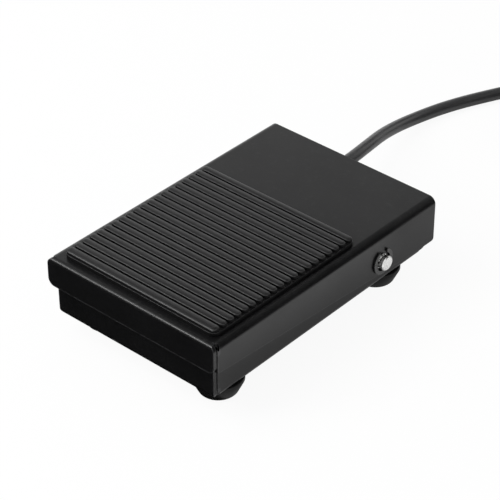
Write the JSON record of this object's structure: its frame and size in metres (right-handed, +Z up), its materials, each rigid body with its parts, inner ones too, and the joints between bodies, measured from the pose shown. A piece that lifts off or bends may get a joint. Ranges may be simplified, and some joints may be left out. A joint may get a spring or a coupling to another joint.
{
  "type": "foot pedal switch",
  "caption": "Low foot pedal switch: a hinged steel cover with a ribbed rubber tread, sprung over a folded steel tray on rubber feet, with a round lead at the rear.",
  "frame": {"origin": "on the floor, under the middle of the pedal", "axes": "+X to the user's right, +Y to the rear where the lead leaves, +Z up"},
  "size_m": [0.1014, 0.2521, 0.0308],
  "materials": {
    "black_paint": "satin black paint, fine texture",
    "tread_rubber": "matt moulded rubber",
    "foot_rubber": "matt moulded rubber",
    "bright_steel": "bright zinc plate",
    "clip_steel": "dark phosphated spring steel",
    "spring_steel": "drawn spring steel",
    "switch_plastic": "matt moulded plastic",
    "plunger_plastic": "matt red plastic",
    "tag_brass": "stamped brass",
    "clamp_plastic": "matt moulded plastic",
    "lead_jacket": "matt flexible jacket",
    "black_insulation": "matt flexible insulation",
    "blue_insulation": "matt flexible insulation",
    "brown_insulation": "matt flexible insulation",
    "tinned_copper": "tinned strands"
  },
  "bodies": {
    "base": {"base_tray": "black_paint", "hinge_pin": "bright_steel", "right_clip": "clip_steel", "left_clip": "clip_steel", "foot_screws": "bright_steel", "foot_nuts": "bright_steel", "spring_seat": "bright_steel", "return_spring": "spring_steel", "switch_case": "switch_plastic", "switch_lid": "switch_plastic", "lever_pin": "bright_steel", "common_terminal": "tag_brass", "open_terminal": "tag_brass", "closed_terminal": "tag_brass", "switch_bracket": "bright_steel", "bracket_rivets": "bright_steel", "switch_screws": "bright_steel", "switch_nuts": "bright_steel", "cable_grommet": "foot_rubber", "clamp_block": "clamp_plastic", "clamp_bar": "bright_steel", "clamp_screws": "bright_steel", "inner_cable": "lead_jacket", "common_wire": "black_insulation", "open_wire": "blue_insulation", "closed_wire": "brown_insulation", "cable": "lead_jacket", "cable_coil": "lead_jacket", "core_ends": "black_insulation", "core_tips": "tinned_copper", "front_left_foot": "foot_rubber", "front_right_foot": "foot_rubber", "rear_left_foot": "foot_rubber", "rear_right_foot": "foot_rubber"},
    "pedal": {"pedal_cover": "black_paint", "tread_pad": "tread_rubber", "spring_cap": "bright_steel"},
    "lever": {"switch_lever": "spring_steel"},
    "plunger": {"switch_plunger": "plunger_plastic"}
  },
  "joints": [
    {"name": "pedal_hinge", "type": "hinge", "parent": "base", "child": "pedal", "pos_m": [0, 0.02542, 0.0167], "axis": [1, 0, 0], "range_deg": [0, 3.6], "stiffness_Nm_per_rad": 13, "springref_deg": -2.01, "deforming": ["return_spring"]},
    {"name": "lever_hinge", "type": "hinge", "parent": "base", "child": "lever", "pos_m": [0, 0.00742, 0.02375], "axis": [1, 0, 0], "range_deg": [0, 8.3]},
    {"name": "plunger_slide", "type": "slide", "parent": "base", "child": "plunger", "axis": [0, 0, -1], "range_m": [0, 0.0008]}
  ],
  "couplings": [
    {"joint": "lever_hinge", "follows": "pedal_hinge", "ratio": 2.2414},
    {"joint": "plunger_slide", "follows": "pedal_hinge", "m_per_rad": 0.01233}
  ]
}
